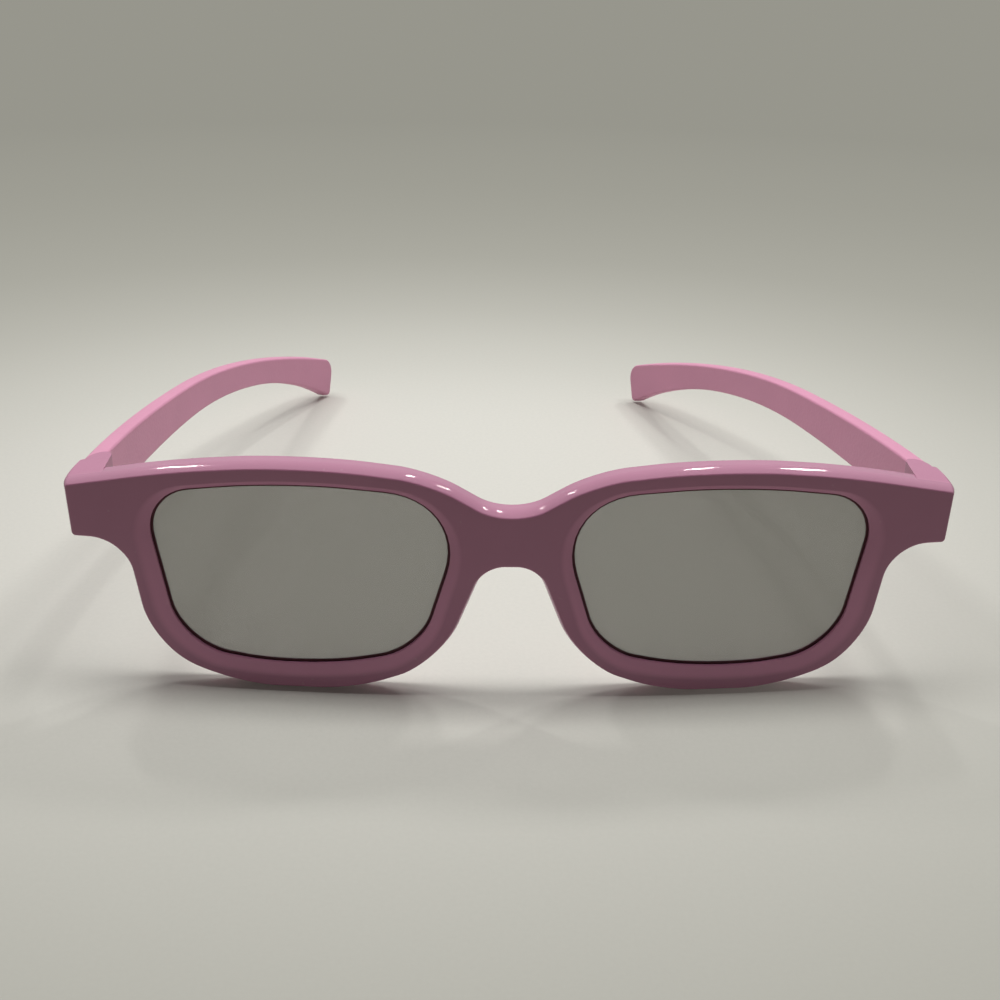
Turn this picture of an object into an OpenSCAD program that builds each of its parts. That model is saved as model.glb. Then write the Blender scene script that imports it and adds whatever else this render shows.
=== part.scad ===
// Passive 3D cinema glasses: a moulded front, a polarising film stack held in each rim
// by a retainer ring, and two curved temples that fold on vertical hinge pins.
// +Z is up, the front faces -Y and the temples reach back along +Y. Left and right are
// the wearer's own, so the left side is at +X. The glasses lie open on the plane z = 0.

/* [Lens openings] */
// Width of each lens opening
lens_w = 49.75; // [42:0.05:54]
// Height of each lens opening
lens_h = 33.55; // [28:0.05:38]
// Gap between the two lens openings at the bridge
lens_gap = 20.5; // [18:0.1:26]

/* [Front] */
// Thickness of the front from face to back
front_t = 4.6; // [4:0.1:6]
// Radius of the front's curve seen from above
front_r = 500; // [350:10:1200]
// Rim under each lens opening
rim_bottom = 5.45; // [5:0.05:9]
// Rim over each lens opening
rim_top = 3.6; // [2.4:0.05:5]
// Rim beside each lens opening, at its foot
rim_side = 1.9; // [1.5:0.1:4]
// Width of each end piece beyond its lens opening
end_w = 14.4; // [13.5:0.1:18]
// Height of each end piece's outer face
end_h = 10.3; // [9:0.1:12]
// How far each end piece narrows towards its hinge, to lie flush with its temple
end_taper = 1.3; // [0.8:0.1:1.6]
// Width of the nose arch at its top corners
arch_w = 8.6; // [8:0.1:14]
// Height of the nose arch over the table
arch_z = 24.5; // [18:0.1:27]
// Height of the bridge from the arch to the saddle's corner point
bridge_h = 8.3; // [5:0.1:11]

/* [Lens stack] */
// Front lip that the lens stack rests against
lip_t = 1; // [0.6:0.05:2]
// Overlap of the lens stack behind the lip
seat_w = 1.6; // [1.2:0.05:1.8]
// Thickness of the retarder film
retarder_t = 0.12; // [0.08:0.01:0.3]
// Thickness of the polariser film
polariser_t = 0.2; // [0.1:0.01:0.4]
// Thickness of the backing sheet
backing_t = 0.32; // [0.2:0.01:0.6]
// Depth of the retainer ring behind the lens stack
retainer_t = 1; // [0.6:0.1:1.8]
// How far the retainer ring's inner edge stays back from the lens opening's edge
retainer_inset = 0.4; // [0.2:0.05:0.7]

/* [Hinges] */
// Distance of the hinge axis behind the front's middle
hinge_y = 14; // [12.5:0.1:18]
// Diameter of the hinge barrel
barrel_d = 4.6; // [3.6:0.1:5.4]
// Diameter of the hinge pin
pin_d = 1.6; // [1.2:0.1:2]
// Height of the temple's knuckle between the two lugs
knuckle_h = 3.6; // [2.8:0.1:4.4]

/* [Temples] */
// Reach of each temple behind its hinge axis
temple_reach = 132.7; // [110:0.1:145]
// Thickness of each temple
temple_t = 3.1; // [2.8:0.1:3.6]
// Height of each temple at its hinge
temple_root_h = 9.4; // [8:0.1:11]
// Height of each temple where it is narrowest
temple_neck_h = 6.1; // [4.5:0.1:8]
// Height of each temple over the table at its tip
temple_tip_h = 10.1; // [8:0.1:13]
// Distance from the hinge axis to the narrowest place
temple_neck_reach = 94.5; // [70:0.5:100]
// Distance from the hinge axis to the start of the ear bend
bend_reach = 57.5; // [40:0.5:85]
// Downward slope of the straight part, in degrees
temple_slope = 7.6; // [6:0.1:9]
// Radius of the temple's inward bow seen from above
bow_r = 335; // [240:5:600]
// How far the left temple is swung in from its open stop, in degrees
left_fold = 4; // [0:0.1:10]

/* [Hidden] */

// Colours
pink = [0.85, 0.65, 0.75];
film_grey = [0.50, 0.49, 0.44, 0.8];
film_clear = [0.80, 0.80, 0.76, 0.5];
steel = [0.70, 0.70, 0.72];

// Fineness of the curves
$fn = 64;
big_fn = 720;
arc_steps = 12;
temple_steps = 40;

// Clearances
film_gap = 0.05;
seat_gap = 0.1;
hinge_gap = 0.3;
hinge_axial_gap = 0.15;
seam_gap = 0.1;
press_gap = 0.01;
running_gap = 0.06;
over = 1;

// The lens opening's box on the left side
lens_in = lens_gap / 2;
lens_out = lens_in + lens_w;
lens_mid = (lens_in + lens_out) / 2;
lens_z0 = rim_bottom;
lens_z1 = lens_z0 + lens_h;

// Corner points of the lens opening, each with its corner radius
lens_corners = [
    [lens_out + 1.3, lens_z1 - 2.55, 8],
    [lens_mid + 2.3, lens_z1 + 0.55, 100],
    [lens_in - 3.7, lens_z1 - 1.8, 11.6],
    [lens_in + 4.8, lens_z0 + 3.2, 11.4],
    [lens_mid - 0.5, lens_z0 - 1.05, 57],
    [lens_out - 3.7, lens_z0 + 2.25, 11.8]
];

// Corner points of the front's left half, from the saddle round to the nose arch
half_w = lens_out + end_w;
crown_lift = 0.6;
crown_z = lens_z1 + rim_top + crown_lift;
shoulder_drop = 2.4;
brow_drop = 2.15;
end_drop = 5.75;
end_top_z = crown_z - end_drop;
end_low_z = end_top_z - end_h;
end_corner_r = 1.2;
end_lean = 0.45;
cheek_z = 8.2;
nose_z = 6.4;
half_corners = [
    [0, arch_z + bridge_h, 10.75],
    [lens_in + 3.3, crown_z - shoulder_drop, 26],
    [lens_mid - 0.6, crown_z, 108],
    [lens_out - 3.7, crown_z - brow_drop, 138],
    [half_w, end_top_z, end_corner_r],
    [half_w - end_lean, end_low_z, end_corner_r],
    [lens_out + rim_side + 2.9, end_low_z, 6.5],
    [lens_out + rim_side, cheek_z, 15.2],
    [lens_out - 11.85, 0, 29],
    [lens_in + 16.2, 0, 29],
    [lens_in + 1.05, nose_z, 19],
    [arch_w / 2, arch_z, 4.8]
];
half_n = len(half_corners);
front_corners = concat(
    half_corners,
    [for (i = [half_n - 1 : -1 : 1])
        [-half_corners[i][0], half_corners[i][1], half_corners[i][2]]]
);

// Depths behind the front face of the layers in each rim
retarder_y = lip_t + film_gap;
polariser_y = retarder_y + retarder_t + film_gap;
backing_y = polariser_y + polariser_t + film_gap;
retainer_y = backing_y + backing_t + film_gap;

// Hinge places: the axis runs up the temple's inner face
barrel_r = barrel_d / 2;
pin_r = pin_d / 2;
hinge_x = half_w - end_taper - temple_t;
hinge_cut_r = barrel_r + hinge_gap;
end_block_y = hinge_y + hinge_gap;
end_ridge_y = front_r - sqrt(pow(front_r, 2) - pow(half_w, 2)) + front_t / 2;
knuckle_z0 = (end_top_z + end_low_z) / 2 + 0.35 - knuckle_h / 2;
knuckle_z1 = knuckle_z0 + knuckle_h;
pin_z0 = end_low_z + 0.6;
pin_z1 = end_top_z - 0.5;

// Temple: heights follow the distance u behind the hinge axis
tip_lean = 2.2;
tip_top_r = 2.6;
tip_low_r = 0.8;
tip_u = temple_reach - tip_lean;
tip_curve_u = tip_u - 3;
root_u = hinge_gap + seam_gap;
temple_top_z = end_top_z;
bend_drop = temple_top_z - tip_u * tan(temple_slope) - temple_tip_h;

// Height of the tools that cut from table to top
tall = crown_z + 10;

function flat(p) = [p[0], p[1]];
function unit(v) = v / norm(v);

// Half of the angle between the two edges at corner i
function half_angle(c, i) =
    let (
        m = len(c),
        a = unit(flat(c[(i + m - 1) % m]) - flat(c[i])),
        b = unit(flat(c[(i + 1) % m]) - flat(c[i]))
    )
    acos(max(-1, min(1, a * b))) / 2;

// Length of edge taken by the rounding at corner i
function corner_reach(c, i) = c[i][2] <= 0 ? 0 : c[i][2] / tan(half_angle(c, i));

// Share of the wanted roundings that the edge after corner i has room for
function edge_share(c, i) =
    let (
        j = (i + 1) % len(c),
        room = 0.98 * norm(flat(c[j]) - flat(c[i])),
        want = corner_reach(c, i) + corner_reach(c, j)
    )
    want > room ? room / want : 1;

// Points of the rounding at corner i
function corner_points(c, i) =
    let (
        m = len(c),
        before = (i + m - 1) % m,
        p = flat(c[i]),
        r = c[i][2] * min(edge_share(c, before), edge_share(c, i))
    )
    r <= 0 ? [p] :
    let (
        h = half_angle(c, i),
        a = unit(flat(c[before]) - p),
        b = unit(flat(c[(i + 1) % m]) - p),
        centre = p + unit(a + b) * r / sin(h),
        s = p + a * r / tan(h) - centre,
        e = p + b * r / tan(h) - centre,
        s_deg = atan2(s[1], s[0]),
        turn = (atan2(e[1], e[0]) - s_deg + 540) % 360 - 180
    )
    [for (k = [0 : arc_steps])
        centre + r * [cos(s_deg + turn * k / arc_steps), sin(s_deg + turn * k / arc_steps)]];

// A closed outline from corner points [x, y, radius]
function rounded(c) = [for (i = [0 : len(c) - 1]) each corner_points(c, i)];

// A counter-clockwise outline moved out by d
function grown(pts, d) =
    [for (i = [0 : len(pts) - 1])
        let (
            m = len(pts),
            run = unit(pts[(i + 1) % m] - pts[(i + m - 1) % m])
        )
        pts[i] + d * [run[1], -run[0]]];

// Top edge, height and bottom edge of a temple at u
function temple_top(u) =
    temple_top_z - u * tan(temple_slope)
    - bend_drop * pow(max(0, u - bend_reach) / (tip_u - bend_reach), 2);
function temple_height(u) =
    u < temple_neck_reach
    ? temple_root_h + (temple_neck_h - temple_root_h) * (1 - cos(180 * u / temple_neck_reach)) / 2
    : temple_neck_h + (temple_top(tip_u) - temple_neck_h)
        * pow((u - temple_neck_reach) / (tip_u - temple_neck_reach), 2);
function temple_low(u) = max(0, temple_top(u) - temple_height(u));

// A point of the bow at u, moved out from the inner face by d
function bow_point(u, d) =
    let (lean = asin(u / bow_r))
    [bow_r * (cos(lean) - 1) + d * cos(lean), u + d * sin(lean)];

lens_outline = rounded(lens_corners);
front_outline = rounded(front_corners);
temple_us = [for (k = [0 : temple_steps]) root_u + (tip_curve_u - root_u) * k / temple_steps];
temple_side = rounded(concat(
    [for (u = temple_us) [u, temple_top(u), 0]],
    [[temple_reach, temple_top(temple_reach), tip_top_r], [tip_u, 0, tip_low_r]],
    [for (k = [temple_steps : -1 : 0]) [temple_us[k], temple_low(temple_us[k]), 0]]
));
overall_y = hinge_y + max([for (p = temple_side) p[0]]);
bow_us = [for (k = [0 : temple_steps]) (temple_reach + over) * k / temple_steps];
temple_plan = concat(
    [for (u = bow_us) bow_point(u, 0)],
    [for (k = [temple_steps : -1 : 0]) bow_point(bow_us[k], temple_t)]
);

// Puts the front's middle half the overall depth ahead of the origin
module placed() { translate([0, -overall_y / 2, 0]) children(); }

// Draws the left side's shape on either side: 1 is left, -1 is right
module on_side(s) { mirror([s < 0 ? 1 : 0, 0, 0]) children(); }

// An outline in X and Z, drawn from y0 to y1
module upright(y0, y1) {
    rotate([90, 0, 0]) translate([0, 0, -y1]) linear_extrude(y1 - y0) children();
}

// The space behind the curved front face, from depth d on
module behind_face(d) {
    translate([0, front_r, -over]) cylinder(h = tall, r = front_r - d, $fn = big_fn);
}

// An outline bent to the front's curve, between two depths
module curved_layer(d0, d1) {
    difference() {
        intersection() {
            upright(-over, hinge_y) children();
            behind_face(d0);
        }
        behind_face(d1);
    }
}

// The end piece's turned-back block with its hinge lugs, seen from above
module end_block_plan() {
    translate([hinge_x - barrel_r, 0]) square([half_w - hinge_x + barrel_r, hinge_y]);
    translate([hinge_x, 0]) square([half_w - hinge_x, end_block_y]);
    translate([hinge_x, hinge_y]) circle(r = barrel_r);
}

// Wedge outside an end piece's tapered side
module end_side_wedge() {
    slope = end_taper / (end_block_y - end_ridge_y);
    translate([0, 0, -over]) linear_extrude(tall) polygon([
        [half_w, end_ridge_y], [half_w + over, end_ridge_y],
        [half_w + over, end_block_y + over],
        [half_w - end_taper - slope * over, end_block_y + over]
    ]);
}

module end_block() {
    intersection() {
        upright(-over, hinge_y + barrel_r + over) polygon(front_outline);
        translate([0, 0, -over]) linear_extrude(tall) end_block_plan();
        behind_face(0);
    }
}

// Upright cylinder on the hinge axis
module on_hinge(r, z0, z1) {
    translate([hinge_x, hinge_y, z0]) cylinder(h = z1 - z0, r = r);
}

module front_frame() {
    color(pink) placed() difference() {
        union() {
            curved_layer(0, front_t) polygon(front_outline);
            for (s = [-1, 1]) on_side(s) end_block();
        }
        for (s = [-1, 1]) on_side(s) {
            upright(-over, hinge_y) polygon(lens_outline);
            intersection() {
                upright(-over, hinge_y) polygon(grown(lens_outline, seat_w + seat_gap));
                behind_face(lip_t);
            }
            on_hinge(hinge_cut_r, knuckle_z0 - hinge_axial_gap, knuckle_z1 + hinge_axial_gap);
            on_hinge(pin_r + press_gap, -over, pin_z1);
            end_side_wedge();
        }
    }
}

module film(s, depth, thickness) {
    placed() on_side(s)
        curved_layer(depth, depth + thickness) polygon(grown(lens_outline, seat_w));
}

module retarder_film(s) { color(film_clear) film(s, retarder_y, retarder_t); }
module polarizer_film(s) { color(film_grey) film(s, polariser_y, polariser_t); }
module backing_sheet(s) { color(film_clear) film(s, backing_y, backing_t); }

module lens_retainer(s) {
    color(pink) placed() on_side(s) curved_layer(retainer_y, retainer_y + retainer_t)
        difference() {
            polygon(grown(lens_outline, seat_w));
            polygon(grown(lens_outline, retainer_inset));
        }
}

// The temple's bar: its side view and its bow seen from above, crossed
module temple_bar() {
    intersection() {
        rotate([90, 0, 90]) translate([0, 0, -temple_reach]) linear_extrude(2 * temple_reach)
            polygon(temple_side);
        linear_extrude(tall) polygon(temple_plan);
    }
}

module temple(s, fold) {
    color(pink) placed() on_side(s) translate([hinge_x, hinge_y, 0]) rotate([0, 0, fold])
        difference() {
            union() {
                difference() {
                    temple_bar();
                    cylinder(h = tall, r = hinge_cut_r);
                }
                translate([0, 0, knuckle_z0]) {
                    cylinder(h = knuckle_h, r = barrel_r);
                    translate([0, root_u, 0]) cube([temple_t, barrel_r + 1, knuckle_h]);
                }
            }
            cylinder(h = tall, r = pin_r + running_gap);
        }
}

module hinge_pin(s) { color(steel) placed() on_side(s) on_hinge(pin_r, pin_z0, pin_z1); }

front_frame();
lens_retainer(1);  // left_lens_retainer
lens_retainer(-1);  // right_lens_retainer
retarder_film(1);  // left_retarder_film
retarder_film(-1);  // right_retarder_film
polarizer_film(1);  // left_polarizer_film
polarizer_film(-1);  // right_polarizer_film
backing_sheet(1);  // left_backing_sheet
backing_sheet(-1);  // right_backing_sheet
temple(1, left_fold);  // left_temple
temple(-1, 0);  // right_temple
hinge_pin(1);  // left_hinge_pin
hinge_pin(-1);  // right_hinge_pin
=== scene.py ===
"""Looks for a pair of folding 3D cinema glasses, modelled over their solid parts."""

import math

import bmesh
import bpy
from bpy.props import FloatProperty, FloatVectorProperty, PointerProperty
from bpy.types import Operator, Panel, PropertyGroup
from mathutils import Matrix, Vector


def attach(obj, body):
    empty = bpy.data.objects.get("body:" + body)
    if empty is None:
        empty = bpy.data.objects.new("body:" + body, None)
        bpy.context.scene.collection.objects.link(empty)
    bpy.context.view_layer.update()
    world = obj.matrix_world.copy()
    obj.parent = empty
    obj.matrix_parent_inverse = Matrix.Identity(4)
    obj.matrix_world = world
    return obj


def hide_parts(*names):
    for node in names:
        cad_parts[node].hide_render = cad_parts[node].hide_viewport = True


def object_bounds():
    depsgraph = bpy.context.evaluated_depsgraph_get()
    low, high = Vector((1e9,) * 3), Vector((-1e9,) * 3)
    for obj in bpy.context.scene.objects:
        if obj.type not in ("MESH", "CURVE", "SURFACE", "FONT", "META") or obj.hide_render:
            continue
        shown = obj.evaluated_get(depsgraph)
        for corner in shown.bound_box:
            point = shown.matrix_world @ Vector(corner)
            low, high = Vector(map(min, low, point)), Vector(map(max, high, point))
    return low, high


bl_info = {
    "name": "Folding Cinema Glasses",
    "version": (1, 0, 0),
    "blender": (4, 5, 0),
    "location": "View3D > Sidebar > Glasses",
    "description": "Models folding 3D cinema glasses and the table they stand on",
    "category": "Add Mesh",
}

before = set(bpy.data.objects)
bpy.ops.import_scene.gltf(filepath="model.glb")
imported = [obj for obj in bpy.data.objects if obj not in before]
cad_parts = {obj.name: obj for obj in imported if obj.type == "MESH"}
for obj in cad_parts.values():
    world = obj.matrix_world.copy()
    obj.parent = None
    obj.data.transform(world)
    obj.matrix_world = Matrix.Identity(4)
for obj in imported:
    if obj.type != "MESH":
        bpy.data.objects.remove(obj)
SOLID_LOW, SOLID_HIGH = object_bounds()
SIDES = (("left", 1), ("right", -1))
AHEAD = (0, -1, 0)
BACK = (0, 1, 0)
FACE_TAG = 9
# Mesh layer that holds painted light: how much the front's colour is lightened on the lips and
# dished bands
PAINTED_LIGHT_LAYER = "painted_lip_light"

# Fineness and tolerances of the meshes
ARC_SEGMENTS = 12
CROWN_SEGMENTS = 5
FACE_EDGE_SEGMENTS = 3
ROUND_SEGMENTS = 4
BEVEL_SEGMENTS = 2
DISH_CUTS = 5
BORE_SEGMENTS = 32
KNUCKLE_SEGMENTS = 48
BARREL_SEGMENTS = 64
LUG_SEGMENTS = 24
TEMPLE_STATIONS = 40
TEMPLE_SLICE = 0.0025
SHEET_SLICE = 0.003
SHEET_STOREY = 0.006
EDGE_SHARE = 0.98
TOUCH = 1e-6
WELD = 2e-6
FLAT_ANGLE = math.radians(0.5)
SHARP_ANGLE = math.radians(35.0)

# Small forms, in metres
LIP_ROUND = 0.00012
LIP_SEAM = 0.00004
PARTING_RIDGE = 0.0001
ROOT_GAP = 0.0001
FOOT_ZONE = 0.0045
END_ZONE = 0.004
TEMPLE_DRAFT = 0.00008
TIP_TRIM = 0.00003
TIP_CURVE = 0.003
BLUNT_ZONE = 0.014
WEB_INNER = 0.0012
WEB_OUTER = 0.0002
WEB_OVERLAP = 0.001
WEB_EDGE = 0.0001

# Room round the pieces for the tools that cut them
CUT_LOW = 0.02
CUT_HIGH = 0.05
CUT_SIDE = 0.075
CUT_MARGIN = 0.001
BLOCK_FROM = 0.004
BLOCK_DEPTH = 0.016

# Shares that shape the lips and the dished bands, and that spread the painted light on them
LIP_STEPS = ((0.3, -0.1), (0.4, -0.4), (0.3, -0.5))
PAINTED_LIGHT_FALL = 0.8
PAINTED_LIGHT_BLEND = 2.5
DISH_BEND = 0.6

# Painted falloff of the lamps' pool on the table: distance in metres and share of the far colour
PAINTED_FALLOFF_STOPS = ((0.06, 0.0), (0.10, 0.28), (0.15, 0.66), (0.21, 0.90))
PAINTED_FALLOFF_END = 0.32


# Settings

def length(name, description, default):
    """A size in metres."""
    return FloatProperty(
        name=name, description=description, default=default, unit="LENGTH", precision=5
    )


def angle(name, description, degrees):
    """An angle, given in degrees and stored in radians."""
    return FloatProperty(
        name=name, description=description, default=math.radians(degrees), unit="ROTATION"
    )


def share(name, description, default):
    """A plain factor between 0 and 1."""
    return FloatProperty(
        name=name, description=description, default=default, min=0.0, max=1.0, subtype="FACTOR"
    )


def colour(name, description, default):
    """A linear colour."""
    return FloatVectorProperty(
        name=name, description=description, default=default, size=3, min=0.0, max=1.0,
        subtype="COLOR",
    )


class GlassesFrontSizes(PropertyGroup):
    """Sizes of the front moulding."""

    lens_w: length("Lens width", "Width of each lens opening", 0.04975)
    lens_h: length("Lens height", "Height of each lens opening", 0.03355)
    lens_gap: length("Lens gap", "Gap between the two lens openings", 0.0205)
    depth: length("Depth", "Depth of the front from face to back", 0.0046)
    curve_r: length("Curve radius", "Radius of the front's curve seen from above", 0.5)
    rim_bottom: length("Rim bottom", "Rim under each lens opening", 0.00545)
    rim_top: length("Rim top", "Rim over each lens opening", 0.0036)
    rim_side: length("Rim side", "Rim beside each lens opening, at its foot", 0.0019)
    crown_lift: length("Crown lift", "Height of the crown's corner points over the rims", 0.0006)
    shoulder_drop: length("Shoulder drop", "Crown down to the shoulders at the saddle", 0.0024)
    brow_drop: length("Brow drop", "Crown down to the outer brows", 0.00215)
    cheek_z: length("Cheek height", "Height of the rims' outer corners over the table", 0.0082)
    nose_z: length("Nose height", "Height of the rims' corners at the nose", 0.0064)
    end_drop: length("End drop", "Crown down to the end pieces' top edge", 0.00575)
    end_w: length("End width", "Width of each end piece beyond its lens opening", 0.0144)
    end_h: length("End height", "Height of each end piece's outer face", 0.0103)
    end_lean: length("End lean", "How far each end piece leans out at its top", 0.00045)
    end_taper: length("End taper", "How far each end piece narrows towards its temple", 0.0013)
    arch_w: length("Arch width", "Width of the nose arch at its top corners", 0.0086)
    arch_z: length("Arch height", "Height of the nose arch over the table", 0.0245)
    bridge_h: length("Bridge height", "Arch to the saddle's corner point", 0.0083)
    draft: length("Draft", "How far the edge wall's back half leans in", 0.0001)
    crown_from: angle("Crown start", "Lean of the edge wall's front half at the parting line", 4.0)
    crown_to: angle("Crown end", "Lean of the edge wall's front half beside the face", 28.0)
    face_round: length("Face edge", "Rounding of the edge round the face", 0.00035)
    foot_lift: length("Foot lift", "How far the face's lower edge lifts off the table", 0.0007)
    back_round: length("Back edge", "Rounding of the edge round the back", 0.0003)
    dish_top: length("Dish top", "Width of the dished band over each lens", 0.0009)
    dish_inner: length("Dish inside", "Width of the dished band at the nose", 0.0022)
    dish_low: length("Dish foot", "Width of the dished band under each lens", 0.0030)
    dish_outer: length("Dish outside", "Width of the dished band at the ends", 0.0033)
    dish_depth: length("Dish depth", "Depth of the dished band at the lens", 0.0004)


class GlassesLensSizes(PropertyGroup):
    """Sizes of the lens stack in each rim."""

    lip: length("Lip", "Depth of the lip that the lens rests against", 0.001)
    seat_w: length("Seat", "Overlap of the lens stack behind the lip", 0.0016)
    seat_gap: length("Seat gap", "Clearance round the lens stack", 0.0001)
    film_gap: length("Film gap", "Clearance between the layers", 0.00005)
    retarder: length("Retarder", "Thickness of the retarder film", 0.00012)
    polariser: length("Polariser", "Thickness of the polariser film", 0.0002)
    backing: length("Backing", "Thickness of the backing sheet", 0.00032)
    # Painted shade: a dark border on the front film stands in for the shaded gap inside the
    # opening
    border: length("Border", "Width of the dark seam that shows inside the opening", 0.00045)
    retainer: length("Retainer", "Depth of the retainer ring", 0.001)
    retainer_inset: length("Retainer inset", "Ring's edge back from the opening", 0.0004)
    retainer_round: length("Retainer edge", "Rounding of the ring's edges", 0.00015)


class GlassesHingeSizes(PropertyGroup):
    """Sizes of the hinges."""

    axis_y: length("Axis depth", "Hinge axis behind the front's middle", 0.014)
    barrel_d: length("Barrel", "Diameter of the hinge barrel", 0.0046)
    pin_d: length("Pin", "Diameter of the hinge pin", 0.0016)
    knuckle_h: length("Knuckle", "Height of the temple's knuckle", 0.0036)
    knuckle_lift: length("Knuckle lift", "Knuckle's middle over the end piece's", 0.00035)
    lug_fit: length("Lug fit", "Clearance round the pin in the lugs", 0.00002)
    knuckle_fit: length("Knuckle fit", "Clearance round the pin in the knuckle", 0.00006)
    gap: length("Gap", "Clearance round the barrel", 0.0003)
    axial_gap: length("Axial gap", "Clearance over and under the knuckle", 0.00015)
    edge_round: length("Edge", "Rounding of the hinge's edges", 0.0002)
    pin_rise: length("Pin foot", "Pin's low end over the end piece's lower edge", 0.0006)
    pin_sink: length("Pin head", "Pin's top end under the end piece's upper edge", 0.0005)
    pin_round: length("Pin edge", "Rounding of the pin's ends", 0.00015)


class GlassesTempleSizes(PropertyGroup):
    """Sizes of the temples."""

    reach: length("Reach", "Reach of each temple behind its hinge", 0.1327)
    thick: length("Thickness", "Thickness of each temple", 0.0031)
    root_h: length("Root height", "Height at the hinge", 0.0094)
    neck_h: length("Neck height", "Height at the narrowest place", 0.0061)
    tip_h: length("Tip height", "Height of the top edge over the table at the tip", 0.0101)
    tip_lean: length("Tip lean", "How far the tip's end leans back at its top", 0.0022)
    tip_top_r: length("Tip top", "Rounding of the tip's top corner", 0.0042)
    tip_low_r: length("Tip foot", "Rounding of the tip's low corner", 0.0010)
    neck_y: length("Neck place", "Hinge to the narrowest place", 0.0945)
    bend_y: length("Bend place", "Hinge to the start of the ear bend", 0.0575)
    slope: angle("Slope", "Downward slope of the straight part", 7.6)
    bow_r: length("Bow radius", "Radius of the inward bow seen from above", 0.335)
    left_fold: angle("Left fold", "How far the left temple lies swung in", 4.0)
    edge_round: length("Edge", "Rounding of the long edges", 0.0005)


class GlassesFinishes(PropertyGroup):
    """Colours and gloss."""

    front_pink: colour("Front pink", "Colour of the front moulding", (0.482, 0.202, 0.316))
    # Painted shade: dark colour of the lip's inner walls and of the front film's border inside
    # each opening
    painted_shade_maroon: colour("Seam maroon", "Dark seam round each lens", (0.10, 0.032, 0.042))
    # Painted light: gain by which the lips and dished bands under the lenses are painted lighter,
    # most at the rims' foot
    painted_light_gain: share("Lip gain", "How much lighter the thin lips under the lenses look", 0.46)
    temple_pink: colour("Temple pink", "Colour of the temples", (0.66, 0.285, 0.43))
    front_rough: share("Front roughness", "Roughness of the glossy front", 0.07)
    temple_rough: share("Temple roughness", "Roughness of the satin temples", 0.46)
    film_olive: colour("Film olive", "Body colour of the polarising film", (0.055, 0.05, 0.024))
    film_cover: share("Film cover", "How much one surface of the film hides", 0.44)
    sheet_grey: colour("Sheet grey", "Body colour of the clear sheets", (0.30, 0.30, 0.28))
    sheet_cover: share("Sheet cover", "How much one surface of a clear sheet hides", 0.02)
    pin_grey: colour("Pin grey", "Colour of the hinge pins", (0.55, 0.55, 0.56))


class GlassesStage(PropertyGroup):
    """Table, lamps and camera."""

    table: colour("Table", "Colour of the table", (0.665, 0.66, 0.617))
    # Painted light: the far table glows in this grey in place of the lamps' falloff; the camera
    # also sees it as the background
    distance: colour("Distance", "Colour of the table far away", (0.31, 0.305, 0.265))
    camera_at: FloatVectorProperty(
        name="Camera", description="Place of the camera, from the front's middle",
        default=(-0.006596, -0.220705, 0.139344), size=3, subtype="XYZ", unit="LENGTH",
    )
    camera_down: FloatProperty(
        name="Down", description="How far the camera looks down", default=0.4325, unit="ROTATION"
    )
    camera_aside: FloatProperty(
        name="Aside", description="How far the camera looks aside", default=0.0207, unit="ROTATION"
    )
    camera_roll: FloatProperty(
        name="Roll", description="Roll of the camera", default=-0.0170, unit="ROTATION"
    )
    focal: FloatProperty(
        name="Focal length", description="Focal length of the camera's lens", default=54.0,
        unit="CAMERA",
    )
    tube_watts: FloatProperty(
        name="Tubes", description="Power of each small lamp in the row", default=0.11,
        unit="POWER",
    )
    soft_watts: FloatProperty(
        name="Soft", description="Power of the wide lamp overhead", default=4.6, unit="POWER"
    )


# Outlines

def lens_span(front):
    """Inner edge, middle and outer edge of the left lens opening."""
    inner = front.lens_gap / 2
    outer = inner + front.lens_w
    return inner, (inner + outer) / 2, outer


def lens_corners(front):
    """Corner points (x, z, radius) of the left lens opening."""
    inner, middle, outer = lens_span(front)
    low = front.rim_bottom
    high = low + front.lens_h
    return [
        (outer + 0.0013, high - 0.00255, 0.008),
        (middle + 0.0023, high + 0.00055, 0.100),
        (inner - 0.0037, high - 0.0018, 0.0116),
        (inner + 0.0048, low + 0.0032, 0.0114),
        (middle - 0.0005, low - 0.00105, 0.057),
        (outer - 0.0037, low + 0.00225, 0.0118),
    ]


def crown_height(front):
    """Height of the crown's corner points over the table."""
    return front.rim_bottom + front.lens_h + front.rim_top + front.crown_lift


def end_heights(front):
    """Low and high edge of an end piece's outer face."""
    high = crown_height(front) - front.end_drop
    return high - front.end_h, high


def half_width(front):
    """Half of the front's width."""
    return lens_span(front)[2] + front.end_w


def front_corners(front):
    """Corner points (x, z, radius) of the whole front, clockwise from the saddle."""
    inner, middle, outer = lens_span(front)
    foot = outer + front.rim_side
    crown = crown_height(front)
    end_low, end_high = end_heights(front)
    wide = half_width(front)
    half = [
        (0.0, front.arch_z + front.bridge_h, 0.01075),
        (inner + 0.0033, crown - front.shoulder_drop, 0.026),
        (middle - 0.0006, crown, 0.108),
        (outer - 0.0037, crown - front.brow_drop, 0.138),
        (wide, end_high, 0.0012),
        (wide - front.end_lean, end_low, 0.0012),
        (foot + 0.0029, end_low, 0.0065),
        (foot, front.cheek_z, 0.0152),
        (outer - 0.01185, 0.0, 0.029),
        (inner + 0.0162, 0.0, 0.029),
        (inner + 0.00105, front.nose_z, 0.019),
        (front.arch_w / 2, front.arch_z, 0.0048),
    ]
    return half + [(-x, z, r) for x, z, r in reversed(half[1:])]


def corner_rays(corners, index):
    """Unit vectors from a corner to the corners before and after it."""
    here = Vector(corners[index][:2])
    before = Vector(corners[index - 1][:2]) - here
    after = Vector(corners[(index + 1) % len(corners)][:2]) - here
    return before.normalized(), after.normalized()


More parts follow.
